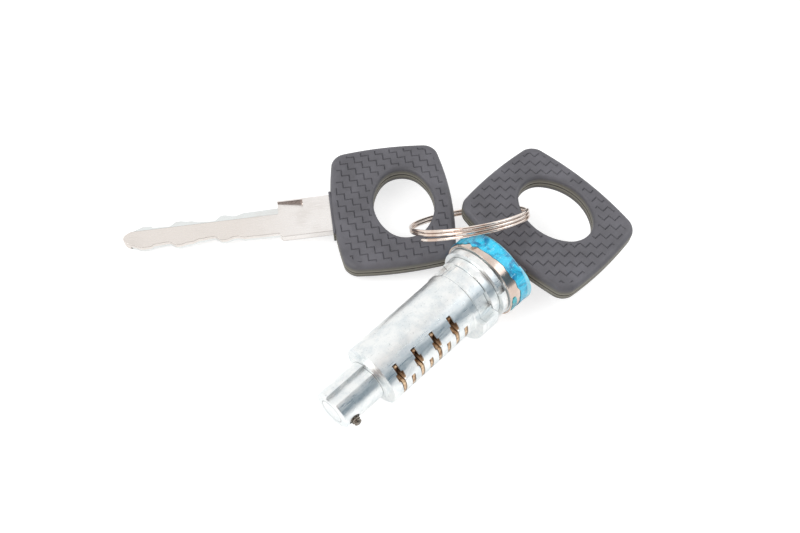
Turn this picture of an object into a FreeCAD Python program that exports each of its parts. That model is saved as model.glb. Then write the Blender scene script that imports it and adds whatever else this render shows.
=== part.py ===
import FreeCAD, Part
import math
import os

V = FreeCAD.Vector

# Driving dimensions, in mm. Lock and keys are drawn in a frame of their own: X along
# the blade towards its tip, Y across the blade, Z out of the blade's upper face.
body_r = 7.7
cap_r = 10.2
flange_r = 9.45
flange_groove = 0.3
collar_r = 8.3
tail_r = 4.85
shoulder_r = 5.8
cap_front = 5.3
cap_back = 10.9
cap_wall = 0.45
cap_bevel = 0.55
flange_front = 11.2
flange_back = 12.9
collar_back = 15.2
neck_back = 19.2
neck_rise = 0.35
lug_back = 20.5
lug_r = 10.1
lug_low = -55
lug_high = 18
shelf_rise = 0.2
barrel_front = 20.9
barrel_past = 3.26
shoulder_len = 0.9
tail_len = 11.15
plate_r = 3.0
plate_depth = 0.45

wafer_count = 8
wafer_pitch = 2.82
first_cut_back = 10.93
wafer_t = 0.75
wafer_back = 0.12
slot_wide = 1.1
wafer_half = 3.0
wafer_r = 7.45
slot_gap = 0.05
cuts = [1.5, 0.33, 0.7, 1.3, 1.5, 0.15, 0.7, 0.15]
ear_out = 6.2
ear_slot_out = 6.85
ear_low = 2.5
ear_high = 4.1
pocket_z = 4.5
pocket_half = 1.05
pocket_floor = -3.5
spring_r = 0.78
spring_wire = 0.13
spring_turns = 1.5

blade_len = 54.17
blade_half = 3.9
blade_t = 2.2
stem_end = 15.3
stem_low = -5.9
stem_high = 5.05
tang_len = 7.2
key_gap = 0.08

head_len = 26.83
near_strip = 8.79
far_strip = 2.64
head_near = 17.29
head_far = 17.37
side_bow = 1.0
far_bow = 1.89
near_bow = 1.82
corner_r = 2.6
head_t = 5.1
edge_r = 0.9
hole_half_y = 10.26
hole_end_drop = 1.5
lip_half = 6.4
lip_depth = 0.28
lip_t = 1.9

ring_r = 14.5
ring_wire = 0.4
ring_pitch = 1.22
ring_turns = 2.3
ring_yaw = 4.34
ring_rise = 11.31
ring_lean = 43.48
ring_along = 0.675
ring_aside = 2.763
ring_above = 0.411

film_t = 0.15
film_edges = [(-25, 2, 7.9), (2, 30, 7.8), (30, 68, 8.6), (68, 104, 9.2), (104, 138, 9.8), (138, 206, 10.3)]
tear_depth = 1.1
tear_half = 1.6
scrap_front = 9.1
pin_back = 2.45
pin_r = 1.1
pin_hole_r = 1.45
pin_out = 6.3
pin_in = 1.3
pin_travel = 1.5
pin_floor = -2.6

key_a_from_ring_x = -5.512
key_a_from_ring_y = 9.703
key_a_turn = (-172.09, 4.05, -3.49)
lock_x = 14.15
lock_y = 14.08
lock_yaw = -135.14
lock_roll = -3.34

# Places along the lock and the hole in the head, worked out from the sizes above.
first_wafer = blade_len - first_cut_back
body_back = first_wafer + barrel_past
shoulder_back = body_back + shoulder_len
tail_back = shoulder_back + tail_len
pin_at = tail_back - pin_back
hole_half_x = (head_len - near_strip - far_strip) / 2
hole_at = near_strip + hole_half_x
hole_end_r = hole_half_x - hole_end_drop

SOLIDS = {}


def turned(points):
    ring = [V(x, r, 0) for x, r in points]
    ring.append(ring[0])
    return Part.Face(Part.makePolygon(ring)).revolve(V(0, 0, 0), V(1, 0, 0), 360)


def box(x0, x1, y0, y1, z0, z1):
    return Part.makeBox(x1 - x0, y1 - y0, z1 - z0, V(x0, y0, z0))


def spun(shape, angle):
    out = shape.copy()
    out.rotate(V(0, 0, 0), V(1, 0, 0), angle)
    return out


def sector(x0, x1, r0, r1, a0, a1):
    face = Part.Face(Part.makePolygon([V(x0, r0, 0), V(x1, r0, 0), V(x1, r1, 0), V(x0, r1, 0), V(x0, r0, 0)]))
    return spun(face.revolve(V(0, 0, 0), V(1, 0, 0), a1 - a0), a0)


def arc_from(p, tangent, q):
    """Arc that leaves p along tangent and ends at q."""
    chord = q - p
    mid = (p + q) * 0.5
    c = chord.Length
    unit = V(tangent).normalize()
    along = chord.dot(unit)
    reach = c * c / (2 * along)
    apex = p + unit * reach
    off = apex - mid
    h = off.Length
    if h < 1e-9:
        return Part.makeLine(p, q)
    half = math.atan2(h, c / 2)
    rise = (c / 2) * math.tan(half / 2)
    return Part.Arc(p, mid + off * (rise / h), q).toShape()


def coil(radius, pitch, turns, wire, step, phase, sides):
    """Helical wire about Z from z = 0, swept along biarcs; wire is half its thickness."""
    count = max(1, int(round(turns * 360.0 / step)))
    lead = pitch / (2 * math.pi)

    def point(a):
        return V(radius * math.cos(a + phase), radius * math.sin(a + phase), lead * a)

    def heading(a):
        return V(-radius * math.sin(a + phase), radius * math.cos(a + phase), lead).normalize()

    edges = []
    end = turns * 2 * math.pi
    for i in range(count):
        a0 = end * i / count
        a1 = end * (i + 1) / count
        p0, p1, t0, t1 = point(a0), point(a1), heading(a0), heading(a1)
        v = p1 - p0
        s = t0 + t1
        k = 2 * (1 - t0.dot(t1))
        d = (-v.dot(s) + math.sqrt(v.dot(s) ** 2 + 2 * (1 - t0.dot(t1)) * v.dot(v))) / k
        m = (p0 + p1 + (t0 - t1) * d) * 0.5
        edges.append(arc_from(p0, t0, m))
        back = arc_from(p1, t1 * -1, m)
        edges.append(back)
    spine = Part.Wire(Part.__sortEdges__(edges))
    out = V(math.cos(phase), math.sin(phase), 0)
    over = heading(0).cross(out)
    ring = []
    for j in range(sides + 1):
        b = 2 * math.pi * (j + 0.5) / sides
        ring.append(point(0) + (out * math.cos(b) + over * math.sin(b)) * (wire / math.cos(math.pi / sides)))
    tube = spine.makePipeShell([Part.makePolygon(ring)], True, False)
    gap = pitch * radius / math.hypot(radius, lead) - 2 * wire
    return tube, gap


def station(k):
    return first_wafer - wafer_pitch * k


def turned_over(k):
    return 180 if k % 2 else 0


def blade():
    top = [(stem_end, blade_half)]
    for k in range(wafer_count - 1, -1, -1):
        top.append((station(k) - 0.64, blade_half - cuts[k]))
        top.append((station(k) + 0.64, blade_half - cuts[k]))
    for d, h in ((8.75, 2.55), (7.5, 2.55), (6.85, 3.15), (4.6, 3.15), (0.9, 1.45), (0.25, 0.85), (0.0, 0.3)):
        top.append((blade_len - d, h))
    low = [(x, -y) for x, y in reversed(top)]
    ring = [V(x, y, -blade_t / 2) for x, y in top + low]
    ring.append(ring[0])
    out = Part.Face(Part.makePolygon(ring)).extrude(V(0, 0, blade_t))
    step = blade_t / 2 - 0.3
    out = out.cut(box(stem_end - 0.01, blade_len + 1, -6, -1.9, step, blade_t))
    out = out.cut(box(stem_end - 0.01, blade_len + 1, 1.9, 6, -blade_t, -step))
    stem = box(-tang_len, stem_end, stem_low, stem_high, -blade_t / 2, blade_t / 2)
    corner = Part.Face(Part.makePolygon([V(stem_end, stem_high, -2), V(stem_end - 0.7, stem_high, -2),
                                         V(stem_end, stem_high - 0.7, -2), V(stem_end, stem_high, -2)]))
    stem = stem.cut(corner.extrude(V(0, 0, 4)))
    hook = Part.Face(Part.makePolygon([V(8.9, 0, -0.3), V(8.9, 0, 2), V(stem_end + 1, 0, 2), V(stem_end + 1, 0, 0.75),
                                       V(8.9, 0, -0.3)])).extrude(V(0, 2.6, 0))
    hook.translate(V(0, stem_low + 0.45, 0))
    stem = stem.cut(hook)
    return out.fuse(stem).removeSplitter()


def about(c, p, q):
    """The shorter arc about c from p to q."""
    r = (p - c).Length
    return Part.Arc(p, c + ((p - c) + (q - c)).normalize() * r, q).toShape()


def rounded(corners, middles, r):
    """Closed outline of bowed sides between corners, each side through its middle, with round corners."""
    count = len(corners)
    sides = [Part.Arc(corners[i], middles[i], corners[(i + 1) % count]).toShape().Curve for i in range(count)]
    turns = []
    for i in range(count):
        c0, c1 = sides[i - 1].Center, sides[i].Center
        r0, r1 = sides[i - 1].Radius - r, sides[i].Radius - r
        line = c1 - c0
        d = line.Length
        along = (r0 * r0 - r1 * r1 + d * d) / (2 * d)
        off = math.sqrt(r0 * r0 - along * along)
        foot = c0 + line * (along / d)
        square = V(-line.y, line.x, 0) * (off / d)
        c = min(foot + square, foot - square, key=lambda spot: (spot - corners[i]).Length)
        turns.append((c, c + (c - c0).normalize() * r, c + (c - c1).normalize() * r))
    edges = []
    for i in range(count):
        c, leave, enter = turns[i]
        edges.append(about(c, leave, enter))
        edges.append(about(sides[i].Center, enter, turns[(i + 1) % count][1]))
    return Part.Wire(Part.__sortEdges__(edges))


def oval(cx, half_x, half_y, end_r):
    """Oval about (cx, 0), longer along Y, of two end arcs and two side arcs that meet smoothly."""
    rise = half_y - end_r
    side_r = (half_x ** 2 + rise ** 2 - end_r ** 2) / (2 * (half_x - end_r))
    out = V(side_r - half_x, rise, 0).normalize() * end_r
    top = [V(cx - out.x, rise + out.y, 0), V(cx + out.x, rise + out.y, 0)]
    low = [V(p.x, -p.y, 0) for p in top]
    return Part.Wire([about(V(cx, rise, 0), top[0], top[1]), about(V(cx - side_r + half_x, 0, 0), top[1], low[1]),
                      about(V(cx, -rise, 0), low[1], low[0]), about(V(cx + side_r - half_x, 0, 0), low[0], top[0])])


def head_half():
    side = (head_near + head_far) / 2 + side_bow
    corners = [V(0, -head_near, 0), V(-head_len, -head_far, 0), V(-head_len, head_far, 0), V(0, head_near, 0)]
    middles = [V(-head_len / 2, -side, 0), V(-head_len - far_bow, 0, 0), V(-head_len / 2, side, 0), V(near_bow, 0, 0)]
    outline = Part.Face(rounded(corners, middles, corner_r))
    hole = Part.Face(oval(-hole_at, hole_half_x, hole_half_y, hole_end_r))
    out = outline.cut(hole).extrude(V(0, 0, head_t / 2))
    rims = []
    for e in out.Edges:
        if abs(e.BoundBox.ZMin - head_t / 2) < 1e-4 and abs(e.BoundBox.ZMax - head_t / 2) < 1e-4:
            rims.append(e)
    out = out.makeChamfer(edge_r, rims)
    lip = box(near_bow - lip_depth, near_bow + lip_depth, -lip_half, lip_half, 0, lip_t)
    out = out.fuse(lip).removeSplitter()
    pocket = box(-tang_len, 10, stem_low, stem_high, -1, blade_t / 2)
    return out.cut(pocket)


def under(shape):
    out = shape.mirror(V(0, 0, 0), V(0, 0, 1))
    return out


def wafer(k):
    x = station(k) - wafer_back
    half = wafer_t / 2
    disc = Part.makeCylinder(wafer_r, wafer_t, V(x - half, 0, 0), V(1, 0, 0))
    plate = disc.common(box(x - half, x + half, -9, 9, -wafer_half, wafer_half))
    plate = plate.fuse(disc.common(box(x - half, x + half, ear_low, ear_high, wafer_half - 0.5, ear_out)))
    low = -(blade_half - cuts[k]) - 0.04
    high = blade_half + cuts[k] + 0.2
    side = blade_t / 2 + 0.12
    plate = plate.cut(box(x - 1, x + 1, low, high, -side, side)).removeSplitter()
    return spun(plate, turned_over(k))


def wafer_room(k):
    x = station(k)
    half = slot_wide / 2
    wide = wafer_half + slot_gap
    travel = 2 * cuts[k] + 0.25
    room = box(x - half, x + half, -12, 12, -wide, wide)
    room = room.fuse(box(x - half, x + half, ear_low - travel, 12, wide - 0.5, ear_slot_out))
    pocket = box(x - pocket_half, x + pocket_half, pocket_floor, 14, pocket_z - pocket_half, pocket_z + pocket_half)
    return spun(room.fuse(pocket), turned_over(k))


def wafer_spring(k):
    length = ear_low - pocket_floor - 2 * spring_wire
    tube, gap = coil(spring_r, length / spring_turns, spring_turns, spring_wire, 180, 0, 4)
    tube.rotate(V(0, 0, 0), V(1, 0, 0), -90)
    tube.translate(V(station(k), pocket_floor + spring_wire, pocket_z))
    return spun(tube, turned_over(k)), gap


def plug():
    filled = cap_r - cap_wall
    neck_r = body_r + neck_rise
    shelf_r = body_r + shelf_rise
    body = turned([(cap_front + cap_wall, 0), (cap_front + cap_wall, filled), (cap_back, filled),
                   (cap_back, flange_r - flange_groove), (flange_front, flange_r - flange_groove),
                   (flange_front, flange_r), (flange_back, flange_r), (flange_back, collar_r),
                   (collar_back, collar_r), (collar_back, neck_r), (neck_back, neck_r), (neck_back, shelf_r),
                   (lug_back, shelf_r), (barrel_front, body_r), (body_back, body_r),
                   (body_back, shoulder_r), (shoulder_back, shoulder_r), (shoulder_back, tail_r),
                   (tail_back - 0.3, tail_r), (tail_back, tail_r - 0.3), (tail_back, 0)])
    body = body.fuse(sector(collar_back, lug_back, body_r - 1, lug_r, lug_low, lug_high))
    pad = sector(neck_back - 0.8, lug_back, body_r - 1, body_r + 0.45, lug_high - 1, 36)
    body = body.fuse(pad)
    body = body.cut(sector(collar_back, neck_back + 0.2, body_r - 0.75, body_r + 2, 128, 166))
    body = body.cut(sector(collar_back, neck_back - 0.4, shelf_r, body_r + 2, 85, 122))
    flat = box(collar_back, neck_back - 0.4, 6.75, 12, -1.9, 1.9)
    body = body.cut(spun(flat, 39))
    notch = box(flange_front - 0.1, flange_back + 0.1, flange_r - 1.1, 12, -0.85, 0.85)
    body = body.cut(spun(notch, 42))
    groove = box(shoulder_back, tail_back + 1, 3.95, 9, -3.2, 0)
    body = body.cut(spun(groove, 112))
    body = body.cut(box(-1, stem_end + 0.15, stem_low - key_gap, stem_high + key_gap,
                        -blade_t / 2 - key_gap, blade_t / 2 + key_gap))
    side = blade_half + key_gap
    z = blade_t / 2 + key_gap
    way = [V(0, side, -z), V(blade_len - 4.4, side, -z), V(blade_len + 0.35, 1.2, -z), V(blade_len + 0.35, -1.2, -z),
           V(blade_len - 4.4, -side, -z), V(0, -side, -z), V(0, side, -z)]
    body = body.cut(Part.Face(Part.makePolygon(way)).extrude(V(0, 0, 2 * z)))
    for k in range(wafer_count):
        body = body.cut(wafer_room(k))
    body = body.cut(Part.makeCylinder(pin_hole_r, 12, V(pin_at, pin_floor, 0), V(0, 1, 0)))
    body = body.cut(Part.makeCylinder(plate_r, plate_depth + 1, V(tail_back - plate_depth, 0, 0), V(1, 0, 0)))
    return body.removeSplitter()


def front_cap():
    cap = turned([(cap_front, 0), (cap_front, cap_r - cap_bevel), (cap_front + cap_bevel, cap_r),
                  (cap_back, cap_r), (cap_back, cap_r - cap_wall), (cap_front + cap_wall, cap_r - cap_wall),
                  (cap_front + cap_wall, 0)])
    return cap.cut(box(0, 9, stem_low - 0.15, stem_high + 0.15, -blade_t / 2 - 0.3, blade_t / 2 + 0.3))


def film():
    slack = film_t * math.tan(math.radians(22.5))
    longest = max(back for start, end, back in film_edges)
    skin = turned([(cap_front - film_t, cap_r - cap_bevel + slack), (cap_front + cap_bevel - slack, cap_r + film_t),
                   (longest, cap_r + film_t), (longest, cap_r), (cap_front + cap_bevel, cap_r),
                   (cap_front, cap_r - cap_bevel)])
    skin = skin.cut(sector(0, flange_front, cap_r / 2, 2 * cap_r, 205, 335))
    for start, end, back in film_edges:
        if back < longest:
            skin = skin.cut(sector(back, flange_front, cap_r / 2, 2 * cap_r, start, end))
        tip = V(back - tear_depth, 0, -0.2 * tear_half)
        far = longest + film_t
        tear = Part.Face(Part.makePolygon([tip, V(far, 0, -1.1 * tear_half), V(far, 0, 0.9 * tear_half), tip]))
        skin = skin.cut(spun(tear.extrude(V(0, 2 * cap_r, 0)), (start + end) / 2))
    return skin


def ring():
    tube, gap = coil(ring_r, ring_pitch, ring_turns, ring_wire, 120, math.radians(-144), 4)
    tube.translate(V(0, 0, -ring_pitch * ring_turns / 2))
    return tube, gap


def add(name, shape, place):
    out = shape.copy()
    if out.ShapeType != "Solid" and len(out.Solids) == 1:
        out = out.Solids[0]
    out.Placement = place.multiply(out.Placement)
    SOLIDS[name] = out


tip_drop = math.degrees(math.asin((cap_r - body_r) / (body_back - cap_back)))
slope = math.radians(tip_drop)
lock_z = body_r * math.cos(slope) + body_back * math.sin(slope)
lock_place = FreeCAD.Placement(V(lock_x, lock_y, lock_z), FreeCAD.Rotation(lock_yaw, tip_drop, lock_roll))
key_z = blade_t / 2 + 0.05 + blade_len * math.sin(math.radians(key_a_turn[1]))
key_a_spin = FreeCAD.Rotation(*key_a_turn)
reach = key_a_spin.multVec(V(head_len, 0, 0))
ring_at = lock_place.multVec(V(ring_along, -cap_r - ring_aside, ring_above))
key_a_x = ring_at.x + key_a_from_ring_x + reach.x
key_a_y = ring_at.y + key_a_from_ring_y + reach.y
key_a_place = FreeCAD.Placement(V(key_a_x, key_a_y, key_z), key_a_spin)
ring_place = FreeCAD.Placement(ring_at, FreeCAD.Rotation(ring_yaw, -ring_rise, 0))
ring_place = ring_place.multiply(FreeCAD.Placement(V(0, 0, 0), FreeCAD.Rotation(V(1, 0, 0), -ring_lean)))

half = head_half()
steel = blade()
add("plug_body", plug(), lock_place)
add("front_cap", front_cap(), lock_place)
add("protective_film", film(), lock_place)
add("film_scrap", sector(scrap_front, cap_back - 0.15, cap_r, cap_r + film_t, -13, 19), lock_place)
add("tail_plate", Part.makeCylinder(plate_r, plate_depth, V(tail_back - plate_depth, 0, 0), V(1, 0, 0)), lock_place)
spring_gap = 0
for k in range(wafer_count):
    add("wafer_%d" % (k + 1), wafer(k), lock_place)
    tube, spring_gap = wafer_spring(k)
    add("wafer_spring_%d" % (k + 1), tube, lock_place)
pin = turned([(pin_in, 0), (pin_in, pin_r), (pin_out - 0.5, pin_r), (pin_out, pin_r - 0.5), (pin_out, 0)])
pin.rotate(V(0, 0, 0), V(0, 0, 1), 90)
pin.translate(V(pin_at, 0, 0))
add("detent_pin", pin, lock_place)
tube, pin_gap = coil(0.8, (pin_in - pin_floor - 0.32) / spring_turns, spring_turns, 0.16, 180, 0, 4)
tube.rotate(V(0, 0, 0), V(1, 0, 0), -90)
tube.translate(V(pin_at, pin_floor + 0.16, 0))
add("detent_spring", tube, lock_place)
add("key_b_blade", steel, lock_place)
add("key_b_upper_shell", half, lock_place)
add("key_b_lower_shell", under(half), lock_place)
add("key_a_blade", steel, key_a_place)
add("key_a_upper_shell", half, key_a_place)
add("key_a_lower_shell", under(half), key_a_place)
loop, ring_gap = ring()
add("split_ring", loop, ring_place)

room = Part.makeCompound(list(SOLIDS.values())).optimalBoundingBox(False, False)
shift = V(-(room.XMin + room.XMax) / 2, -(room.YMin + room.YMax) / 2, -room.ZMin)

os.makedirs("parts", exist_ok=True)
for name, shape in SOLIDS.items():
    shape.translate(shift)
    shape.exportStep("parts/" + name + ".step")
print("coil gaps mm", round(spring_gap, 3), round(pin_gap, 3), round(ring_gap, 3))
print("lock tilt deg", round(tip_drop, 3), "lock height", round(lock_z, 3), "key height", round(key_z, 3))
print("shift", round(shift.x, 5), round(shift.y, 5), round(shift.z, 5), "overall", round(room.XLength, 2),
      round(room.YLength, 2), round(room.ZLength, 2))
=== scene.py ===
import bmesh
import bpy
import math
import random
from mathutils import Euler, Matrix, Vector


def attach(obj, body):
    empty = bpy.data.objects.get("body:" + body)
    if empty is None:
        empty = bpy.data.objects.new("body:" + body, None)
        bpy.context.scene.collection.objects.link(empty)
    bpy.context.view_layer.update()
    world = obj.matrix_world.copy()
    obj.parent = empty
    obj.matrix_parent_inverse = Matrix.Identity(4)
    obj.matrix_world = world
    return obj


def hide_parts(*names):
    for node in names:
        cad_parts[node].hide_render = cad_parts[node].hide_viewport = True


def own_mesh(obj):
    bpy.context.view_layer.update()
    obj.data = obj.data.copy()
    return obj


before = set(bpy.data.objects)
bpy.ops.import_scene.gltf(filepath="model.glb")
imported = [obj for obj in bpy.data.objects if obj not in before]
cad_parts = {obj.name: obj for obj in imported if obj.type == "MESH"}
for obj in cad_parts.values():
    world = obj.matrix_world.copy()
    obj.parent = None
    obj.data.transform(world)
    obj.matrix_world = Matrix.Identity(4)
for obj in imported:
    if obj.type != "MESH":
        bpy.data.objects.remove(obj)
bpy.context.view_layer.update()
random.seed(7)

# Every piece is modelled in millimetres on the bench and put in its place at the end.
mm = 0.001


def placeOf(at, turn, roll=0):
    turned = Euler([math.radians(a) for a in turn]).to_matrix().to_4x4()
    rolled = Matrix.Rotation(math.radians(roll), 4, "X")
    return Matrix.Translation(Vector(at) * mm) @ turned @ Matrix.Scale(mm, 4) @ rolled


# On the lock and the keys X runs along the blade to its tip, Y across it, and Z out of its upper face.
lockPlace = placeOf(at=(32.3059, 4.4165, 10.9464), turn=(-3.34, 4.0269, -135.14))
spareKeyPlace = placeOf(at=(-9.3612, 19.0598, 4.9759), turn=(-3.49, 4.05, -172.09))
ringPlace = placeOf(at=(22.6592, 13.0399, 12.0617), turn=(0, -11.31, 4.34), roll=-43.48)  # its wire runs round Z


def alone(obj=None):
    if bpy.context.object and bpy.context.object.mode != "OBJECT":
        bpy.ops.object.mode_set(mode="OBJECT")
    bpy.ops.object.select_all(action="DESELECT")
    if obj:
        obj.select_set(True)
        bpy.context.view_layer.objects.active = obj


def named(name):
    obj = bpy.context.object
    obj.name = name
    obj.data.name = name
    return obj


# A copy with a mesh of its own.
def twin(obj, name):
    other = obj.copy()
    other.data = obj.data.copy()
    other.name = name
    bpy.context.scene.collection.objects.link(other)
    return other


def openUp(obj):
    alone(obj)
    bpy.ops.object.mode_set(mode="EDIT")
    bpy.ops.mesh.select_all(action="SELECT")


# Turns every face outwards and leaves edit mode.
def closeUp():
    bpy.ops.mesh.select_all(action="SELECT")
    bpy.ops.mesh.normals_make_consistent(inside=False)
    bpy.ops.object.mode_set(mode="OBJECT")


# In edit mode, selects the edges or vertices that pass the test.
def pick(obj, what, test):
    bpy.ops.mesh.select_mode(type={"edges": "EDGE", "verts": "VERT"}[what])
    bpy.ops.mesh.select_all(action="DESELECT")
    mesh = bmesh.from_edit_mesh(obj.data)
    mesh.normal_update()
    for part in getattr(mesh, what):
        if test(part):
            part.select = True
    mesh.select_flush_mode()
    bmesh.update_edit_mesh(obj.data)


# In edit mode, moves the selected vertices to where the form puts them.
def reshape(obj, form):
    mesh = bmesh.from_edit_mesh(obj.data)
    for v in mesh.verts:
        if v.select:
            v.co = form(v.co.copy())
    bmesh.update_edit_mesh(obj.data)


def useModifier(obj, kind, **settings):
    alone(obj)
    bpy.ops.object.modifier_add(type=kind)
    modifier = obj.modifiers[-1]
    for key, value in settings.items():
        setattr(modifier, key, value)
    bpy.ops.object.modifier_apply(modifier=modifier.name)


def cut(obj, tool, how="DIFFERENCE"):
    useModifier(obj, "BOOLEAN", object=tool, operation=how, solver="EXACT")
    bpy.data.objects.remove(tool)


def settle(obj, place):
    alone(obj)
    obj.matrix_world = place @ obj.matrix_world
    bpy.ops.object.transform_apply(location=True, rotation=True, scale=True)


# A CAD part brought to the bench, with its loose triangles joined and its flat faces whole again.
def benchCopy(node, name, place, merge=0.002, flat=0.6):
    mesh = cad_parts[node].data.copy()
    mesh.materials.clear()
    mesh.transform(place.inverted())
    obj = bpy.data.objects.new(name, mesh)
    bpy.context.scene.collection.objects.link(obj)
    openUp(obj)
    bpy.ops.mesh.remove_doubles(threshold=merge)
    bpy.ops.mesh.customdata_custom_splitnormals_clear()
    bpy.ops.mesh.dissolve_limited(angle_limit=math.radians(flat))
    bpy.ops.object.mode_set(mode="OBJECT")
    return obj


def soften(obj, width, segments=2, angle=32):
    useModifier(obj, "BEVEL", width=width, segments=segments, limit_method="ANGLE", angle_limit=math.radians(angle),
                use_clamp_overlap=False, miter_outer="MITER_ARC")


def smooth(obj, angle=35):
    alone(obj)
    bpy.ops.object.shade_smooth_by_angle(angle=math.radians(angle))
    useModifier(obj, "WEIGHTED_NORMAL", weight=100, keep_sharp=True)


def hand(obj, material, body, node):
    obj.data.materials.clear()
    obj.data.materials.append(material)
    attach(obj, body)
    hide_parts(node)


def linear(hexValue):
    parts = [int(hexValue[i:i + 2], 16) / 255 for i in (1, 3, 5)]
    return [c / 12.92 if c <= 0.04045 else ((c + 0.055) / 1.055) ** 2.4 for c in parts] + [1]


def emptyTree(owner):
    owner.use_nodes = True
    owner.node_tree.nodes.clear()
    return owner.node_tree


# Settings go to the node itself where it has that name, else to the socket of that name or number.
def addNode(tree, kind, settings=None, links=None):
    node = tree.nodes.new(kind)
    for key, value in (settings or {}).items():
        if isinstance(key, str) and hasattr(node, key):
            setattr(node, key, value)
        else:
            node.inputs[key].default_value = value
    for key, (source, output) in (links or {}).items():
        tree.links.new(source.outputs[output], node.inputs[key])
    return node


# The last thing returned gives the spot on the piece, in mm along the piece's own axes.
def newMaterial(name, look, place):
    material = bpy.data.materials.new(name)
    tree = emptyTree(material)
    shader = addNode(tree, "ShaderNodeBsdfPrincipled", look["shader"])
    addNode(tree, "ShaderNodeOutputMaterial", None, {"Surface": (shader, "BSDF")})
    spot = addNode(tree, "ShaderNodeTexCoord")
    back = place.inverted()
    spot = addNode(tree, "ShaderNodeMapping",
                   {"Location": back.translation, "Rotation": back.to_euler(), "Scale": [1 / mm] * 3},
                   {"Vector": (spot, "Object")})
    return material, tree, shader, spot


# One tint clouded with another. In every look a pattern's Scale is how many of it go into a millimetre, and blend is
# the two cloud levels between which the first tint turns into the second.
def cloudTones(tree, spot, look, first, second):
    cloud = addNode(tree, "ShaderNodeTexNoise", look["cloud"], {"Vector": (spot, "Vector")})
    low, high = look["blend"]
    share = addNode(tree, "ShaderNodeMapRange", {"From Min": low, "From Max": high}, {"Value": (cloud, "Fac")})
    tone = addNode(tree, "ShaderNodeMix", {"data_type": "RGBA", 6: linear(first), 7: linear(second)}, {0: (share, 0)})
    return tone, cloud


# A mask for a narrow line: up to its strength within near of the middle, and gone beyond far.
def stripe(tree, source, middle, far, near, strength):
    off = addNode(tree, "ShaderNodeMath", {"operation": "SUBTRACT", 1: middle}, {0: source})
    off = addNode(tree, "ShaderNodeMath", {"operation": "ABSOLUTE"}, {0: (off, 0)})
    fade = {"From Min": far, "From Max": near, "To Max": strength}
    return addNode(tree, "ShaderNodeMapRange", fade, {"Value": (off, 0)})


# Lays each layer's colour over the tone where its mask shows, and joins colour, roughness and bump to the shader.
# A look's rough is two levels of the grain and the roughness at each.
def finishSurface(tree, shader, look, tone, layers, grain, height=None):
    for colour, mask in layers:
        over = {"data_type": "RGBA", 7: linear(colour)}
        tone = addNode(tree, "ShaderNodeMix", over, {0: (mask, 0), 6: (tone, 2)})
    tree.links.new(tone.outputs[2], shader.inputs["Base Color"])
    levels = dict(zip(("From Min", "From Max", "To Min", "To Max"), look["rough"]))
    rough = addNode(tree, "ShaderNodeMapRange", levels, {"Value": (grain, "Fac")})
    tree.links.new(rough.outputs[0], shader.inputs["Roughness"])
    bump = addNode(tree, "ShaderNodeBump", look["bump"], {"Height": height or (grain, "Fac")})
    tree.links.new(bump.outputs["Normal"], shader.inputs["Normal"])


# Die-cast zinc alloy, tumbled: pale blue silver with a fine dapple, dull flow patches, dark specks, painted shade in
# the corners, and brown dirt with painted shade down in the slots.
castZinc = {"shader": {"Metallic": 1, "Roughness": 0.4}, "tints": ("#E3E9EB", "#F8FAF9"), "blend": (0.34, 0.56),
            "speck": "#8A9397", "shadeAndJoint": "#5F676B", "slotDirtAndShade": "#B59A7C",
            "cloud": {"Scale": 1 / 3.2, "Detail": 6, "Roughness": 0.65},
            "specks": {"Scale": 1 / 0.5, "Detail": 5, "Roughness": 0.7},
            "speckFade": {"From Min": 0.58, "From Max": 0.72, "To Max": 0.5},
            "corners": ((10.9, 11.2), (12.9, 13.06), (15.2, 15.34), (19.2, 19.3), (47.4, 47.52)),
            "cornerFade": 0.05, "cornerShare": 0.8, "slots": (21, 46.3),
            "slotFade": {"From Min": 7.42, "From Max": 7.17, "To Max": 0.9},
            "discRim": {"middle": 3, "far": 0.14, "near": 0.05, "strength": 0.55}, "discFrom": 58.2,
            "skin": {"Scale": 1 / 0.4, "Detail": 4, "Roughness": 0.6},
            "scratch": {"Scale": 1 / 0.5, "Detail": 2}, "pull": (0.18, 2.2, 2.2), "scratchHeight": 0.2,
            "rough": (0.3, 0.7, 0.26, 0.46), "bump": {"Strength": 0.22, "Distance": 0.05 * mm}}


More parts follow.
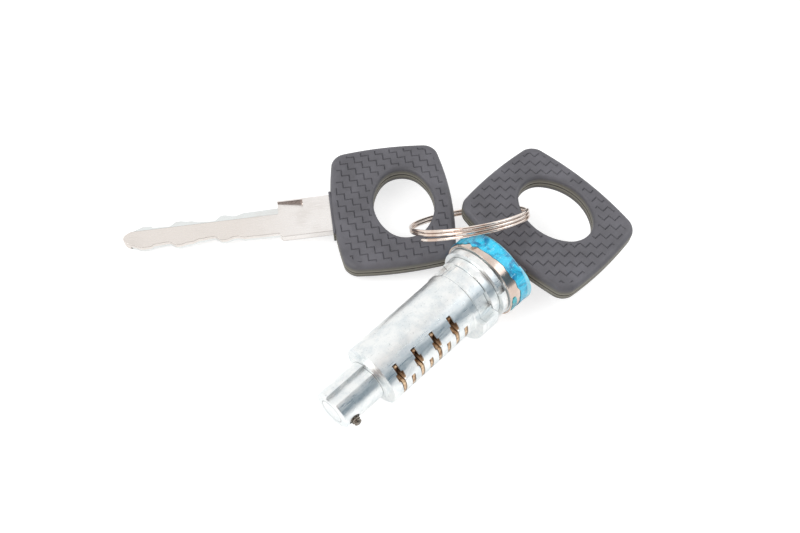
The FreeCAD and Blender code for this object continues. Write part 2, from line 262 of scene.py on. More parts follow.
def zincMaterial():
    look = castZinc
    material, tree, shader, spot = newMaterial("dieCastZinc", look, lockPlace)
    tone = cloudTones(tree, spot, look, *look["tints"])[0]
    specks = addNode(tree, "ShaderNodeTexNoise", look["specks"], {"Vector": (spot, "Vector")})
    specks = addNode(tree, "ShaderNodeMapRange", look["speckFade"], {"Value": (specks, "Fac")})
    layers = [(look["speck"], specks)]
    apart = addNode(tree, "ShaderNodeSeparateXYZ", None, {"Vector": (spot, "Vector")})
    # painted shade: dark lines laid along the inner corners of the steps round the lock
    for low, high in look["corners"]:
        wide = (high - low) / 2
        corner = stripe(tree, (apart, "X"), (low + high) / 2, wide, wide - look["cornerFade"], look["cornerShare"])
        layers.append((look["shadeAndJoint"], corner))
    # brown dirt and painted shade lie deep in the slots, found by the distance from the lock's axis
    flat = addNode(tree, "ShaderNodeVectorMath", {"operation": "MULTIPLY", 1: (0, 1, 1)}, {0: (spot, "Vector")})
    reach = addNode(tree, "ShaderNodeVectorMath", {"operation": "LENGTH"}, {0: (flat, 0)})
    low, high = look["slots"]
    off = addNode(tree, "ShaderNodeMath", {"operation": "SUBTRACT", 1: (low + high) / 2}, {0: (apart, "X")})
    off = addNode(tree, "ShaderNodeMath", {"operation": "ABSOLUTE"}, {0: (off, 0)})
    within = addNode(tree, "ShaderNodeMath", {"operation": "LESS_THAN", 1: (high - low) / 2}, {0: (off, 0)})
    deep = addNode(tree, "ShaderNodeMapRange", look["slotFade"], {"Value": (reach, "Value")})
    deep = addNode(tree, "ShaderNodeMath", {"operation": "MULTIPLY"}, {0: (deep, 0), 1: (within, 0)})
    layers.append((look["slotDirtAndShade"], deep))
    # a thin dark joint runs round the disc in the tail's end
    rim = stripe(tree, (reach, "Value"), **look["discRim"])
    atEnd = addNode(tree, "ShaderNodeMath", {"operation": "GREATER_THAN", 1: look["discFrom"]}, {0: (apart, "X")})
    rim = addNode(tree, "ShaderNodeMath", {"operation": "MULTIPLY"}, {0: (rim, 0), 1: (atEnd, 0)})
    layers.append((look["shadeAndJoint"], rim))
    skin = addNode(tree, "ShaderNodeTexNoise", look["skin"], {"Vector": (spot, "Vector")})
    along = addNode(tree, "ShaderNodeMapping", {"Scale": look["pull"]}, {"Vector": (spot, "Vector")})
    scratch = addNode(tree, "ShaderNodeTexNoise", look["scratch"], {"Vector": (along, "Vector")})
    height = addNode(tree, "ShaderNodeMath", {"operation": "MULTIPLY_ADD", 1: look["scratchHeight"]},
                     {0: (scratch, "Fac"), 2: (skin, "Fac")})
    finishSurface(tree, shader, look, tone, layers, scratch, (height, 0))
    return material


# Pressed steel cap, chrome plated: smooth and mirror bright, with a warm cast and faint rubbing round the rim.
capChrome = {"shader": {"Metallic": 1, "Roughness": 0.14}, "tints": ("#D4C0B3", "#E3D4C9"), "blend": (0.38, 0.62),
             "cloud": {"Scale": 0.3, "Detail": 3},
             "lines": {"Scale": 1 / 0.35, "Detail": 4}, "pull": (3, 0.15, 0.15),
             "rough": (0.35, 0.75, 0.08, 0.26), "bump": {"Strength": 0.08, "Distance": 0.02 * mm}}

# Bright nickel on drawn spring wire: hard narrow highlights and coppery reflections along the wire.
wireNickel = {"shader": {"Metallic": 1, "Roughness": 0.16}, "tints": ("#D6BFB0", "#EFE3DA"), "blend": (0.38, 0.58),
              "cloud": {"Scale": 0.22, "Detail": 2},
              "lines": {"Scale": 1 / 0.12, "Detail": 2}, "pull": (0.25, 0.25, 2),
              "rough": (0.3, 0.7, 0.08, 0.22), "bump": {"Strength": 0.06, "Distance": 0.02 * mm}}

# Half-hard brass strip, stamped: tan with a copper cast, browner where it has tarnished, with a sheared grain on
# its edges.
stampedBrass = {"shader": {"Metallic": 1, "Roughness": 0.34}, "tints": ("#9A7350", "#E9CBA8"), "blend": (0.38, 0.58),
                "cloud": {"Scale": 1 / 1.1, "Detail": 5, "Roughness": 0.65},
                "lines": {"Scale": 1 / 0.2, "Detail": 2}, "pull": (0.2, 1, 1),
                "rough": (0.3, 0.7, 0.26, 0.46), "bump": {"Strength": 0.12, "Distance": 0.03 * mm}}

# Oiled carbon steel pin: grey, clouded with dark brown oil.
pinSteel = {"shader": {"Metallic": 1, "Roughness": 0.36}, "tints": ("#4E4238", "#A39C92"), "blend": (0.4, 0.6),
            "cloud": {"Scale": 1 / 0.35, "Detail": 4},
            "rough": (0.3, 0.7, 0.28, 0.5), "bump": {"Strength": 0.15, "Distance": 0.03 * mm}}

# Hard-drawn spring wire: mid grey, with a bright line along each turn.
drawnWire = {"shader": {"Metallic": 1, "Roughness": 0.28}, "tints": ("#7E7F80", "#B9BABB"), "blend": (0.35, 0.65),
             "cloud": {"Scale": 1 / 0.4, "Detail": 3},
             "rough": (0.3, 0.7, 0.2, 0.38), "bump": {"Strength": 0.08, "Distance": 0.02 * mm}}


# Clouded metal, with fine lines drawn out one way where the look has them.
def cloudedMetal(name, look, place):
    material, tree, shader, spot = newMaterial(name, look, place)
    tone, grain = cloudTones(tree, spot, look, *look["tints"])
    if "lines" in look:
        along = addNode(tree, "ShaderNodeMapping", {"Scale": look["pull"]}, {"Vector": (spot, "Vector")})
        grain = addNode(tree, "ShaderNodeTexNoise", look["lines"], {"Vector": (along, "Vector")})
    finishSurface(tree, shader, look, tone, (), grain)
    return material


# Tinted polyethylene film, stretched by hand: bright cyan, deeper where it is doubled, milky along its creases
# and on its rolled front lip.
tintedFilm = {"shader": {"Roughness": 0.3, "IOR": 1.51, "Coat Weight": 0.35, "Coat Roughness": 0.12,
                         "Subsurface Weight": 0.12, "Subsurface Scale": 0.5 * mm},
              "wrap": ("#0778AA", "#2ECBF0", "#A8EAFA"), "scrap": ("#0F7F97", "#2BC0CC", "#B4EAE4"),
              "cloud": {"Scale": 1 / 3.4, "Detail": 5, "Roughness": 0.6, "Distortion": 0.8}, "blend": (0.38, 0.54),
              "lip": {"From Min": 5.8, "From Max": 5.45, "To Max": 0.7},
              "crease": {"Scale": 1 / 0.8, "Detail": 4, "Distortion": 1.4}, "pull": (0.6, 1.5, 1.5),
              "milk": {"From Min": 0.6, "From Max": 0.72, "To Max": 0.8},
              "rough": (0.3, 0.7, 0.2, 0.42), "bump": {"Strength": 0.45, "Distance": 0.08 * mm}}


def filmMaterial(name, deep, clear, milky):
    look = tintedFilm
    material, tree, shader, spot = newMaterial(name, look, lockPlace)
    tone = cloudTones(tree, spot, look, deep, clear)[0]
    apart = addNode(tree, "ShaderNodeSeparateXYZ", None, {"Vector": (spot, "Vector")})
    lip = addNode(tree, "ShaderNodeMapRange", look["lip"], {"Value": (apart, "X")})
    pulled = addNode(tree, "ShaderNodeMapping", {"Scale": look["pull"]}, {"Vector": (spot, "Vector")})
    crease = addNode(tree, "ShaderNodeTexNoise", look["crease"], {"Vector": (pulled, "Vector")})
    milk = addNode(tree, "ShaderNodeMapRange", look["milk"], {"Value": (crease, "Fac")})
    finishSurface(tree, shader, look, tone, ((milky, lip), (milky, milk)), crease)
    return material


# Nickel silver key blank: warm rolled flat, a milled flank beyond the step coloured paler and bluer as a painted
# reflection, fine lines along the blade, and painted shade lines at the step and along the edges.
keyMetal = {"shader": {"Metallic": 1, "Roughness": 0.3}, "flat": "#E9E2DC", "stem": "#F2EEEB", "flankSheen": "#E9ECEB",
            "rubbed": "#D6CFC9", "corner": "#85827D", "step": 1.9,
            "stemToFlat": {"From Min": 9, "From Max": 26}, "bladeFrom": {"From Min": 15.2, "From Max": 15.4},
            "pastStep": {"From Min": 0.05, "From Max": -0.05},
            "lines": {"Scale": 1 / 0.14, "Detail": 3, "Roughness": 0.6}, "pull": (0.04, 1, 1),
            "cloud": {"Scale": 1 / 6, "Detail": 3}, "lineMark": {"From Min": 0.26, "From Max": 0.4, "To Max": 0.45},
            "stepShade": {"far": 0.16, "near": 0.04, "strength": 0.7},
            "edgeShade": {"middle": 0.98, "far": 0.1, "near": 0.03, "strength": 0.75},
            "rough": (0.3, 0.7, 0.22, 0.36), "bump": {"Strength": 0.06, "Distance": 0.02 * mm}}


def keyMetalMaterial(name, place):
    look = keyMetal
    material, tree, shader, spot = newMaterial(name, look, place)
    apart = addNode(tree, "ShaderNodeSeparateXYZ", None, {"Vector": (spot, "Vector")})
    worked = addNode(tree, "ShaderNodeMapRange", look["stemToFlat"], {"Value": (apart, "X")})
    tone = addNode(tree, "ShaderNodeMix", {"data_type": "RGBA", 6: linear(look["stem"]), 7: linear(look["flat"])},
                   {0: (worked, 0)})
    # the step lies on one side of the upper face and on the other side of the lower
    upper = addNode(tree, "ShaderNodeMath", {"operation": "SIGN"}, {0: (apart, "Z")})
    out = addNode(tree, "ShaderNodeMath", {"operation": "MULTIPLY"}, {0: (apart, "Y"), 1: (upper, 0)})
    past = addNode(tree, "ShaderNodeMath", {"operation": "ADD", 1: look["step"]}, {0: (out, 0)})
    # painted reflection: the milled flank beyond the step is coloured paler and bluer than the flat
    flankSheen = addNode(tree, "ShaderNodeMapRange", look["pastStep"], {"Value": (past, 0)})
    onBlade = addNode(tree, "ShaderNodeMapRange", look["bladeFrom"], {"Value": (apart, "X")})
    flankSheen = addNode(tree, "ShaderNodeMath", {"operation": "MULTIPLY"}, {0: (flankSheen, 0), 1: (onBlade, 0)})
    along = addNode(tree, "ShaderNodeMapping", {"Scale": look["pull"]}, {"Vector": (spot, "Vector")})
    lines = addNode(tree, "ShaderNodeTexNoise", look["lines"], {"Vector": (along, "Vector")})
    cloud = addNode(tree, "ShaderNodeTexNoise", look["cloud"], {"Vector": (spot, "Vector")})
    worn = addNode(tree, "ShaderNodeMath", {"operation": "MULTIPLY"}, {0: (lines, "Fac"), 1: (cloud, "Fac")})
    worn = addNode(tree, "ShaderNodeMapRange", look["lineMark"], {"Value": (worn, 0)})
    # painted shade: a dark line in the step's inner corner, and dark lines along the blade's edges
    corner = stripe(tree, (out, 0), -look["step"], **look["stepShade"])
    corner = addNode(tree, "ShaderNodeMath", {"operation": "MULTIPLY"}, {0: (corner, 0), 1: (onBlade, 0)})
    height = addNode(tree, "ShaderNodeMath", {"operation": "ABSOLUTE"}, {0: (apart, "Z")})
    edge = stripe(tree, (height, 0), **look["edgeShade"])
    corner = addNode(tree, "ShaderNodeMath", {"operation": "MAXIMUM"}, {0: (corner, 0), 1: (edge, 0)})
    layers = ((look["flankSheen"], flankSheen), (look["rubbed"], worn), (look["corner"], corner))
    finishSurface(tree, shader, look, tone, layers, lines)
    return material


# Glass-filled nylon, moulded against a spark-eroded tool: violet grey satin faces, paler warmer sides with a painted
# highlight line along them, and a dark seam between the halves.
headNylon = {"shader": {"Roughness": 0.5, "IOR": 1.5}, "tints": ("#555459", "#646369"), "blend": (0.36, 0.66),
             "side": "#6C685D", "rim": "#969286", "seam": "#24221F",
             "cloud": {"Scale": 1 / 6, "Detail": 5, "Roughness": 0.6},
             "grain": {"Scale": 1 / 0.2, "Detail": 4, "Roughness": 0.6},
             "sideFade": {"From Min": 1.9, "From Max": 0.9}, "seamFade": {"From Min": 0.2, "From Max": 0.12},
             "rimHighlightLine": {"middle": 0.5, "far": 0.35, "near": 0.1, "strength": 0.6},
             "rough": (0.3, 0.7, 0.42, 0.6), "bump": {"Strength": 0.2, "Distance": 0.04 * mm}}


def nylonMaterial(name, place):
    look = headNylon
    material, tree, shader, spot = newMaterial(name, look, place)
    tone = cloudTones(tree, spot, look, *look["tints"])[0]
    grain = addNode(tree, "ShaderNodeTexNoise", look["grain"], {"Vector": (spot, "Vector")})
    apart = addNode(tree, "ShaderNodeSeparateXYZ", None, {"Vector": (spot, "Vector")})
    height = addNode(tree, "ShaderNodeMath", {"operation": "ABSOLUTE"}, {0: (apart, "Z")})
    down = addNode(tree, "ShaderNodeMapRange", look["sideFade"], {"Value": (height, 0)})
    # painted highlight: a pale line along the sides, a little above and below the seam
    lineMark = stripe(tree, (height, 0), **look["rimHighlightLine"])
    seam = addNode(tree, "ShaderNodeMapRange", look["seamFade"], {"Value": (height, 0)})
    layers = ((look["side"], down), (look["rim"], lineMark), (look["seam"], seam))
    finishSurface(tree, shader, look, tone, layers, grain)
    return material


zinc = zincMaterial()
chrome = cloudedMetal("chromePlate", capChrome, lockPlace)
film = filmMaterial("cyanFilm", *tintedFilm["wrap"])
scrapFilm = filmMaterial("tealFilm", *tintedFilm["scrap"])
nickel = cloudedMetal("nickelPlatedWire", wireNickel, ringPlace)
brass = cloudedMetal("stampedBrass", stampedBrass, lockPlace)
darkSteel = cloudedMetal("oiledSteel", pinSteel, lockPlace)
springWire = cloudedMetal("drawnSpringWire", drawnWire, lockPlace)
print("materials made")


# A part of the lock whose form is right in the CAD: its edges are broken and its curves smoothed.
def finishPart(node, name, edge, material, body):
    obj = benchCopy(node, name, lockPlace)
    soften(obj, edge)
    smooth(obj)
    settle(obj, lockPlace)
    hand(obj, material, body, node)


# Plug body, cap and tail plate
plug = {"edge": 0.09, "capEdge": 0.1, "plateEdge": 0.08}
finishPart("plug_body", "plugCasting", plug["edge"], zinc, "lock")
finishPart("front_cap", "capShell", plug["capEdge"], chrome, "lock")
finishPart("tail_plate", "tailPlug", plug["plateEdge"], zinc, "lock")
print("plug made")

# Wafers
wafers = {"count": 8, "edge": 0.08}
for k in range(1, wafers["count"] + 1):
    finishPart("wafer_%d" % k, "waferPlate%d" % k, wafers["edge"], brass, "wafer_%d" % k)
print("wafers made")

# Coil springs: a wire end is drawn as a circle and screwed up into a coil
waferSpring = {"radius": 0.78, "wire": 0.12, "turns": 5.5, "from": -3.46, "to": 2.46, "aside": 4.5, "last": 43.24,
               "pitch": 2.82}
pinSpring = {"radius": 0.8, "wire": 0.15, "turns": 4.5, "from": -2.56, "to": 1.26, "at": 56.1}


def coilTube(name, coil, height, sides=10, stepsPerTurn=30):
    alone()
    bpy.ops.mesh.primitive_circle_add(vertices=sides, radius=coil["wire"], location=(coil["radius"], 0, 0),
                                      rotation=(math.radians(90), 0, 0))
    obj = named(name)
    bpy.ops.object.transform_apply(location=True, rotation=True, scale=True)
    steps = int(coil["turns"] * stepsPerTurn)
    useModifier(obj, "SCREW", angle=math.radians(360 * coil["turns"]), screw_offset=height, axis="Z",
                use_smooth_shade=True, steps=steps, render_steps=steps)
    openUp(obj)
    bpy.ops.mesh.remove_doubles(threshold=1e-4)
    bpy.ops.mesh.select_all(action="SELECT")
    bpy.ops.mesh.fill_holes(sides=sides)  # the wire's two ends
    closeUp()
    return obj


def springCoil(name, coil):
    return coilTube(name, coil, coil["to"] - coil["from"] - 2 * coil["wire"])


# Stands a spring on its floor and gives it a mesh of its own.
def standSpring(obj, coil, at, aside, over, node):
    side = lockPlace @ Matrix.Rotation(math.radians(180 if over else 0), 4, "X")
    upright = Matrix.Rotation(math.radians(-90), 4, "X")
    settle(obj, side @ Matrix.Translation((at, coil["from"] + coil["wire"], aside)) @ upright)
    smooth(obj, angle=50)
    hand(obj, springWire, "lock", node)
    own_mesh(obj)


firstSpring = springCoil("waferSpring", waferSpring)
for k in range(wafers["count"]):
    spring = twin(firstSpring, "waferSpring%d" % (k + 1))
    at = waferSpring["last"] - waferSpring["pitch"] * k
    standSpring(spring, waferSpring, at, waferSpring["aside"], k % 2,
                "wafer_spring_%d" % (k + 1))
bpy.data.objects.remove(firstSpring)
standSpring(springCoil("pinSpring", pinSpring), pinSpring, pinSpring["at"], 0, False, "detent_spring")
print("springs made")

# Detent pin, turned: a disc drawn up step by step, with three grooves near its point
pin = {"at": 56.1, "from": 1.3, "sides": 40, "edge": 0.05,
       "steps": ((0, 0.95), (0.12, 1.07), (2.5, 1.07), (2.62, 0.86), (2.86, 0.86), (2.98, 1.08), (3.28, 1.08),
                 (3.4, 0.86), (3.64, 0.86), (3.76, 1.08), (4.06, 1.08), (4.18, 0.86), (4.4, 0.86), (4.5, 0.96),
                 (4.8, 0.78), (4.97, 0.45))}
alone()
bpy.ops.mesh.primitive_circle_add(vertices=pin["sides"], radius=pin["steps"][0][1], fill_type="NGON")
detentPin = named("detentPin")
openUp(detentPin)
for (z0, r0), (z1, r1) in zip(pin["steps"], pin["steps"][1:]):
    bpy.ops.mesh.extrude_region_move(TRANSFORM_OT_translate={"value": (0, 0, z1 - z0)})
    bpy.ops.transform.resize(value=(r1 / r0, r1 / r0, 1))
closeUp()
soften(detentPin, pin["edge"], angle=28)
smooth(detentPin, angle=40)
upright = Matrix.Translation((pin["at"], pin["from"], 0)) @ Matrix.Rotation(math.radians(-90), 4, "X")
settle(detentPin, lockPlace @ upright)
hand(detentPin, darkSteel, "detent_pin", "detent_pin")
print("detent pin made")

# Key heads: one moulded half, engraved, then copied and mirrored
head = {"length": 26.83, "near": 17.29, "far": 17.37, "sideBow": 1.0, "farBow": 1.89, "nearBow": 1.82, "thick": 5.1,
        "corner": 2.6, "cornerSteps": 8, "longSide": 8, "sidePoints": 15, "round": 1.4, "rimRound": 1.0, "rounds": 7,
        "seam": 0.2, "holeAt": 16.49, "holeX": 7.7, "holeY": 10.26, "holeEnd": 6.2}
engraving = {"leg": 1.87, "half": 0.2, "depth": 0.25, "legs": 48, "rows": 21, "edgeGap": 1.45, "holeGap": 1.1,
             "start": (-5.6, -42.0), "reach": (1.5, 3.5)}
stem = {"lipHalf": 6.4, "lipDepth": 0.28, "lipThick": 1.9, "lipRound": 0.18, "sides": (-5.9, 5.05), "back": 7.2,
        "ahead": 10, "thick": 2.2}


# How far the hole's rim lies from its middle in one direction: its rim is two long arcs and two tighter ends.
def holeReach(angle, grow):
    u = Vector((math.cos(angle), math.sin(angle)))
    rise = head["holeY"] - head["holeEnd"]
    sideR = (head["holeX"] ** 2 + rise ** 2 - head["holeEnd"] ** 2) / (2 * (head["holeX"] - head["holeEnd"]))
    drop = sideR - head["holeX"]
    steep = math.atan2(rise, drop)
    turnY = rise + head["holeEnd"] * math.sin(steep)
    turnX = head["holeEnd"] * math.cos(steep)
    if abs(u.y) * turnX < abs(u.x) * turnY:
        middle, r = Vector((-math.copysign(drop, u.x), 0)), sideR + grow
    else:
        middle, r = Vector((0, math.copysign(rise, u.y))), head["holeEnd"] + grow
    along = u.dot(middle)
    return along + math.sqrt(along ** 2 - middle.length_squared + r ** 2)


# The head's outline and its hole, bridged into a flat ring and drawn up from low to high.
def headRing(name, inset, holeGrow, low, high):
    length, side = head["length"], (head["near"] + head["far"]) / 2

    def bow(co):
        nx, ny = (co.x + length / 2) / (length / 2 - inset), co.y / (side - inset)
        return (co.x + (head["nearBow"] if nx > 0 else head["farBow"]) * nx * (1 - ny ** 2),
                co.y + (head["sideBow"] - (head["near"] - side) * nx) * ny * (1 - nx ** 2), co.z)

    def fitHole(co):
        angle = math.atan2(co.y, co.x + head["holeAt"])
        reach = holeReach(angle, holeGrow)
        return -head["holeAt"] + reach * math.cos(angle), reach * math.sin(angle), low

    alone()
    bpy.ops.mesh.primitive_plane_add(size=2, location=(-length / 2, 0, low))
    obj = named(name)
    bpy.ops.object.transform_apply(location=True, rotation=True, scale=True)
    openUp(obj)
    bpy.ops.transform.resize(value=(length / 2 - inset, side - inset, 1), center_override=(-length / 2, 0, low))
    bpy.ops.mesh.bevel(offset=head["corner"], offset_type="OFFSET", segments=head["cornerSteps"], affect="VERTICES")
    pick(obj, "edges", lambda e: e.calc_length() > head["longSide"])
    bpy.ops.mesh.subdivide(number_cuts=head["sidePoints"])
    bpy.ops.mesh.select_all(action="SELECT")
    bpy.ops.mesh.delete(type="ONLY_FACE")
    bpy.ops.mesh.select_all(action="SELECT")
    reshape(obj, bow)
    around = len(bmesh.from_edit_mesh(obj.data).verts)
    bpy.ops.mesh.select_all(action="DESELECT")
    bpy.ops.mesh.primitive_circle_add(vertices=around, radius=1, location=(-head["holeAt"], 0, low))
    reshape(obj, fitHole)
    bpy.ops.mesh.select_all(action="SELECT")
    bpy.ops.mesh.bridge_edge_loops()
    bpy.ops.mesh.select_all(action="SELECT")
    bpy.ops.mesh.extrude_region_move(TRANSFORM_OT_translate={"value": (0, 0, high - low)})
    closeUp()
    return obj


def onRim(e, z, near=1e-3, upright=0.5):
    return all(abs(v.co.z - z) < near for v in e.verts) and len(e.link_faces) == 2 and \
        any(abs(f.normal.z) < upright for f in e.link_faces)


def nearHole(e, slack=0.05):
    v = e.verts[0].co
    angle = math.atan2(v.y, v.x + head["holeAt"])
    return (v.xy - Vector((-head["holeAt"], 0))).length < holeReach(angle, slack)


# Zigzag rows, each a lozenge drawn along in steps; the corners mitre themselves.
def engraver():
    alone()
    bpy.ops.mesh.primitive_circle_add(vertices=4, radius=1, fill_type="NGON",
                                      location=(*engraving["start"], head["thick"] / 2),
                                      rotation=(math.radians(90), 0, math.radians(45)))
    obj = named("engraver")
    obj.scale = (engraving["half"] * math.sqrt(2), engraving["depth"], 1)
    bpy.ops.object.transform_apply(location=True, rotation=True, scale=True)
    openUp(obj)
    leg = engraving["leg"]
    for i in range(engraving["legs"]):
        step = (-leg, 0, 0) if i % 2 else (0, leg, 0)
        bpy.ops.mesh.extrude_region_move(TRANSFORM_OT_translate={"value": step})
    closeUp()
    useModifier(obj, "ARRAY", count=engraving["rows"], use_relative_offset=False, use_constant_offset=True,
                constant_offset_displace=(leg, leg, 0))
    return obj


half = headRing("headHalf", inset=0, holeGrow=0, low=0, high=head["thick"] / 2)
openUp(half)
pick(half, "edges", lambda e: onRim(e, head["thick"] / 2) and not nearHole(e))
bpy.ops.mesh.bevel(offset=head["round"], segments=head["rounds"], affect="EDGES", clamp_overlap=False)
pick(half, "edges", lambda e: onRim(e, head["thick"] / 2) and nearHole(e))
bpy.ops.mesh.bevel(offset=head["rimRound"], segments=head["rounds"], affect="EDGES", clamp_overlap=False)
pick(half, "edges", lambda e: onRim(e, 0))
bpy.ops.mesh.bevel(offset=head["seam"], segments=1, affect="EDGES", clamp_overlap=False)
bpy.ops.object.mode_set(mode="OBJECT")

field = headRing("engravedField", engraving["edgeGap"], engraving["holeGap"], *engraving["reach"])
rows = engraver()
cut(rows, field, "INTERSECT")
cut(half, rows)

# The raised lip where the stem comes out, and the room for the stem inside.
alone()
bpy.ops.mesh.primitive_cube_add(size=1, location=(head["nearBow"], 0, stem["lipThick"] / 2),
                                scale=(2 * stem["lipDepth"], 2 * stem["lipHalf"], stem["lipThick"]))
lip = named("stemLip")
soften(lip, stem["lipRound"], segments=3)
cut(half, lip, "UNION")
low, high = stem["sides"]
alone()
bpy.ops.mesh.primitive_cube_add(size=1, location=((stem["ahead"] - stem["back"]) / 2, (low + high) / 2, 0),
                                scale=(stem["ahead"] + stem["back"], high - low, stem["thick"]))
cut(half, named("stemRoom"))
smooth(half, angle=40)

# Key blades: the cut flanks' upright corners are worn round, and then every edge is broken
keyBlade = {"cutsFrom": 16, "shortest": 0.2, "worn": 0.18, "edge": 0.07}


def isCutCorner(e, upright=0.99):
    along = (e.verts[0].co - e.verts[1].co).normalized()
    onCuts = e.verts[0].co.x > keyBlade["cutsFrom"] and e.calc_length() > keyBlade["shortest"]
    return onCuts and abs(along.z) > upright


for key, place, body in (("a", spareKeyPlace, "key_a"), ("b", lockPlace, "key_b")):
    nylon = nylonMaterial("mouldedNylon" + key.upper(), place)
    for side, way in (("upper", 1), ("lower", -1)):
        shell = twin(half, "key%sHead%s" % (key.upper(), side.capitalize()))
        settle(shell, place @ Matrix.Scale(way, 4, (0, 0, 1)))
        if side == "lower":
            openUp(shell)
            closeUp()
        hand(shell, nylon, body, "key_%s_%s_shell" % (key, side))
    node = "key_%s_blade" % key
    blade = benchCopy(node, "key%sBlade" % key.upper(), place)
    openUp(blade)
    pick(blade, "edges", isCutCorner)
    bpy.ops.mesh.bevel(offset=keyBlade["worn"], segments=3, affect="EDGES", clamp_overlap=True)
    bpy.ops.object.mode_set(mode="OBJECT")
    soften(blade, keyBlade["edge"], angle=40)
    smooth(blade)
    settle(blade, place)
    hand(blade, keyMetalMaterial("milledNickelSilver" + key.upper(), place), body, node)
bpy.data.objects.remove(half)
print("keys made")

# Split ring: wire wound two turns and a bit, closed up tight but for the first end, which stands off
ring = {"radius": 14.5, "wire": 0.385, "turns": 2.37, "pitch": 1.18, "closed": 0.84, "middle": 1.15, "start": -144,
        "sprung": 0.26, "standOff": 0.5, "sides": 16, "steps": 96, "endRound": 0.12}


def pressShut(co):
    part = math.atan2(co.y, co.x) / math.tau
    wound = part + round(co.z / ring["pitch"] - part)
    stray = max(0, 1 - wound / ring["sprung"]) ** 2 * ring["standOff"]
    return co.x, co.y, co.z + wound * (ring["closed"] - ring["pitch"]) - stray


splitRing = coilTube("splitRing", ring, ring["pitch"] * ring["turns"], ring["sides"], ring["steps"])
openUp(splitRing)
reshape(splitRing, pressShut)
bpy.ops.object.mode_set(mode="OBJECT")
turned = Matrix.Rotation(math.radians(ring["start"]), 4, "Z")
splitRing.matrix_world = turned @ Matrix.Translation((0, 0, -ring["closed"] * ring["middle"]))
soften(splitRing, ring["endRound"], angle=60)
smooth(splitRing, angle=50)
settle(splitRing, ringPlace)
hand(splitRing, nickel, "ring", "split_ring")
print("ring made")

# Film round the cap: an open tube, torn along its back edge and wrinkled. Front and rear give the place of the
# film's edges along the cap at each angle round it.
wrap = {"radius": 10.2, "lift": 0.05, "thick": 0.09, "sides": 220, "rows": 16, "gap": (-155, -25), "bevelEnd": 5.85,
        "front": ((-25, 4.1), (-8, 4.2), (12, 4.35), (32, 4.7), (50, 5.2), (62, 5.3), (205, 5.3)), "setBack": 0.055,
        "rear": ((-25, 7.8), (-14, 7.9), (12, 7.8), (52, 8.6), (92, 9.3), (124, 9.8), (150, 10.15), (176, 10.3),
                 (205, 10.3)),
        "rearMost": 10.6, "flapEnd": 52, "flare": 0.12, "rag": 0.135, "waves": 18, "firstWave": 3, "waveStep": 1.7,
        "shift": 6, "shiftDraws": 20, "fade": 0.12, "wrinkle": 0.05, "wrinkles": 46, "slant": 2, "draws": 60}
rags = [random.uniform(-1, 1) for i in range(wrap["draws"])]


def between(table, x):
    for (x0, y0), (x1, y1) in zip(table, table[1:]):
        if x0 <= x <= x1:
            return y0 + (y1 - y0) * (x - x0) / (x1 - x0)
    return table[0][1] if x < table[0][0] else table[-1][1]


def degreesRound(co):
    return math.degrees(math.atan2(co.y, co.x))


# How ragged the torn edge is at an angle: waves that get finer and weaker.
def tear(angle):
    total = 0
    for n in range(wrap["waves"]):
        shift = rags[n + wrap["shiftDraws"]] * wrap["shift"]
        wave = math.sin(angle * (n * wrap["waveStep"] + wrap["firstWave"]) + shift)
        total += rags[n] * wave / (1 + wrap["fade"] * n)
    return total


def wrapRound(co):
    turn = degreesRound(co)
    turn = turn + 360 if turn < -90 else turn
    angle = math.radians(turn)
    start = between(wrap["front"], turn) + wrap["setBack"]
    back = min(between(wrap["rear"], turn) + wrap["rag"] * tear(angle), wrap["rearMost"])
    x = start + (back - start) * co.z / wrap["rows"]
    wave = math.sin(angle * wrap["wrinkles"] + wrap["slant"] * x)
    wrinkle = wrap["wrinkle"] * wave * rags[int(abs(turn)) % len(rags)]
    ahead = max(0, wrap["bevelEnd"] - x)  # over the cap's front bevel it leans in, and its loose flap flares out
    r = wrap["radius"] + wrap["lift"] + abs(wrinkle) - (ahead if turn > wrap["flapEnd"] else -wrap["flare"] * ahead)
    return x, r * math.cos(angle), r * math.sin(angle)


alone()
bpy.ops.mesh.primitive_circle_add(vertices=wrap["sides"], radius=wrap["radius"])
wrapFilm = named("wrapFilm")
openUp(wrapFilm)
for i in range(wrap["rows"]):
    bpy.ops.mesh.extrude_region_move(TRANSFORM_OT_translate={"value": (0, 0, 1)})
low, high = wrap["gap"]
pick(wrapFilm, "verts", lambda v: low < degreesRound(v.co) < high)
bpy.ops.mesh.delete(type="VERT")
bpy.ops.mesh.select_all(action="SELECT")
reshape(wrapFilm, wrapRound)
closeUp()
useModifier(wrapFilm, "SOLIDIFY", thickness=wrap["thick"], offset=1)
smooth(wrapFilm, angle=60)
settle(wrapFilm, lockPlace)
hand(wrapFilm, film, "lock", "protective_film")

# Film scrap, curled round the cap's rear edge
scrap = {"radius": 10.22, "turns": (-13, 19), "from": 9.1, "to": 10.75, "thick": 0.08, "grid": (24, 16), "fill": 0.97,
         "taper": 0.45, "rag": 0.08, "rags": 17, "ripple": 0.05, "ripples": (23, 9, 14)}


def curl(co):
    across, along = co.x + 0.5, co.y + 0.5
    first, last = scrap["turns"]
    angle = math.radians(first + (last - first) * across)
    narrow = 1 - scrap["taper"] * (2 * across - 1) ** 2 + scrap["rag"] * math.sin(scrap["rags"] * across)
    x = (scrap["from"] + scrap["to"]) / 2 + (along - 0.5) * (scrap["to"] - scrap["from"]) * narrow * scrap["fill"]
    slow, lean, quick = scrap["ripples"]
    r = scrap["radius"] + scrap["ripple"] * (1 + math.sin(slow * across + lean * along) * math.sin(quick * along))
    return x, r * math.cos(angle), r * math.sin(angle)


alone()
bpy.ops.mesh.primitive_grid_add(x_subdivisions=scrap["grid"][0], y_subdivisions=scrap["grid"][1], size=1)
scrapPiece = named("scrapFilm")
openUp(scrapPiece)
reshape(scrapPiece, curl)
closeUp()
useModifier(scrapPiece, "SOLIDIFY", thickness=scrap["thick"], offset=0)
smooth(scrapPiece, angle=60)
settle(scrapPiece, lockPlace)
hand(scrapPiece, scrapFilm, "lock", "film_scrap")
print("film made")

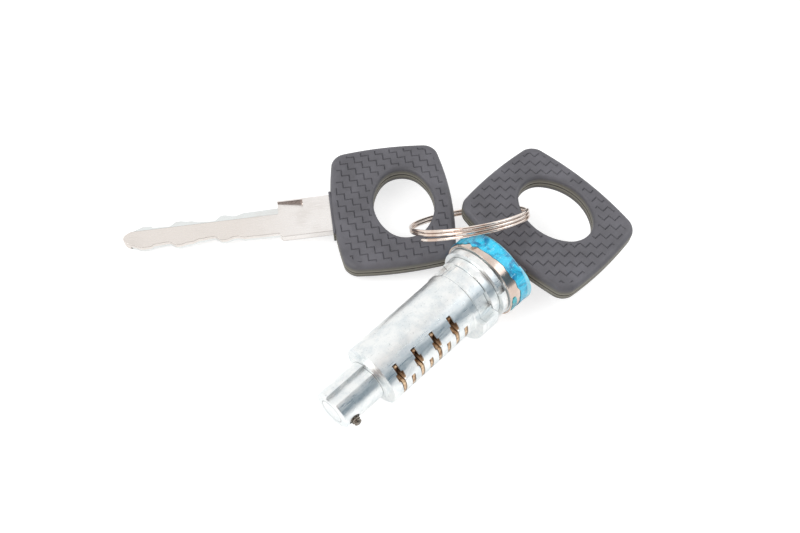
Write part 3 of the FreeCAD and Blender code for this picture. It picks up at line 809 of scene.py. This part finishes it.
# Floor, light and camera. Shiny metal sees a white room with two dim patches: a warm one overhead and a cool one
# lower on the right. Each has its colour, its side, and how near to that side it begins and is full. A lamp has its
# place, its size and its power, and both face the middle of the floor.
studio = {"floorSize": 3, "floorDrop": 0.02, "floor": "#D2D2D2", "floorGlow": 0.62, "floorSheen": 0.42, "room": 0.78,
          "patches": (("#8A7268", (-0.05, -0.5, 0.86), 0.72, 0.9), ("#5A7280", (0.76, -0.36, 0.54), 0.74, 0.95)),
          "lamps": (("keyLight", (-0.5, -0.25, 0.55), 0.5, 2.2), ("sideLight", (0.55, 0.1, 0.5), 0.5, 1.2))}
alone()
bpy.ops.mesh.primitive_plane_add(size=studio["floorSize"], location=(0, 0, -studio["floorDrop"] * mm))
floor = named("floor")
paper = bpy.data.materials.new("whitePaper")
tree = emptyTree(paper)
path = addNode(tree, "ShaderNodeLightPath")
matte = addNode(tree, "ShaderNodeBsdfDiffuse", {"Color": linear(studio["floor"])})
seen = addNode(tree, "ShaderNodeMath", {"operation": "MULTIPLY", 1: studio["floorGlow"]},
               {0: (path, "Is Camera Ray")})
lift = addNode(tree, "ShaderNodeMath", {"operation": "MULTIPLY_ADD", 1: studio["floorSheen"]},
               {0: (path, "Is Glossy Ray"), 2: (seen, 0)})
glow = addNode(tree, "ShaderNodeEmission", None, {"Strength": (lift, 0)})
both = addNode(tree, "ShaderNodeAddShader", None, {0: (matte, 0), 1: (glow, 0)})
addNode(tree, "ShaderNodeOutputMaterial", None, {"Surface": (both, 0)})
floor.data.materials.append(paper)

world = bpy.data.worlds.new("studio")
bpy.context.scene.world = world
tree = emptyTree(world)
path = addNode(tree, "ShaderNodeLightPath")
seen = addNode(tree, "ShaderNodeMath", {"operation": "MAXIMUM"},
               {0: (path, "Is Camera Ray"), 1: (path, "Is Glossy Ray")})
seen = addNode(tree, "ShaderNodeMath", {"operation": "MAXIMUM"}, {0: (seen, 0), 1: (path, "Is Transmission Ray")})
level = addNode(tree, "ShaderNodeMath", {"operation": "MULTIPLY_ADD", 1: 1 - studio["room"], 2: studio["room"]},
                {0: (seen, 0)})
way = addNode(tree, "ShaderNodeTexCoord")
# the room is white where no patch shows
white = addNode(tree, "ShaderNodeMix", {"data_type": "RGBA", 0: 0, 6: (1, 1, 1, 1)})
room = (white, 2)
for colour, side, begins, full in studio["patches"]:
    toward = addNode(tree, "ShaderNodeVectorMath", {"operation": "DOT_PRODUCT", 1: Vector(side).normalized()},
                     {0: (way, "Generated")})
    fade = {"interpolation_type": "SMOOTHSTEP", "From Min": begins, "From Max": full}
    patch = addNode(tree, "ShaderNodeMapRange", fade, {"Value": (toward, "Value")})
    shiny = addNode(tree, "ShaderNodeMath", {"operation": "MULTIPLY"}, {0: (patch, 0), 1: (path, "Is Glossy Ray")})
    room = (addNode(tree, "ShaderNodeMix", {"data_type": "RGBA", 7: linear(colour)}, {0: (shiny, 0), 6: room}), 2)
sky = addNode(tree, "ShaderNodeBackground", None, {"Strength": (level, 0), "Color": room})
addNode(tree, "ShaderNodeOutputWorld", None, {"Surface": (sky, 0)})

for name, at, size, power in studio["lamps"]:
    alone()
    bpy.ops.object.light_add(type="AREA", location=at)
    lamp = bpy.context.object
    lamp.name = name
    lamp.data.shape = "DISK"
    lamp.data.size = size
    lamp.data.energy = power
    lamp.rotation_euler = (-Vector(at)).to_track_quat("-Z", "Y").to_euler()

camera = {"at": (-3.694, -132.628, 200.59), "turn": (34.8469, -2.8342, -0.0019), "lens": 43.83, "clip": 0.01}
alone()
bpy.ops.object.camera_add(location=Vector(camera["at"]) * mm, rotation=[math.radians(a) for a in camera["turn"]])
eye = bpy.context.object
eye.name = "camera"
eye.data.lens = camera["lens"]
eye.data.clip_start = camera["clip"]
eye.data.dof.use_dof = False
bpy.context.scene.camera = eye
bpy.context.scene.view_settings.view_transform = "Standard"
print("scene lit")
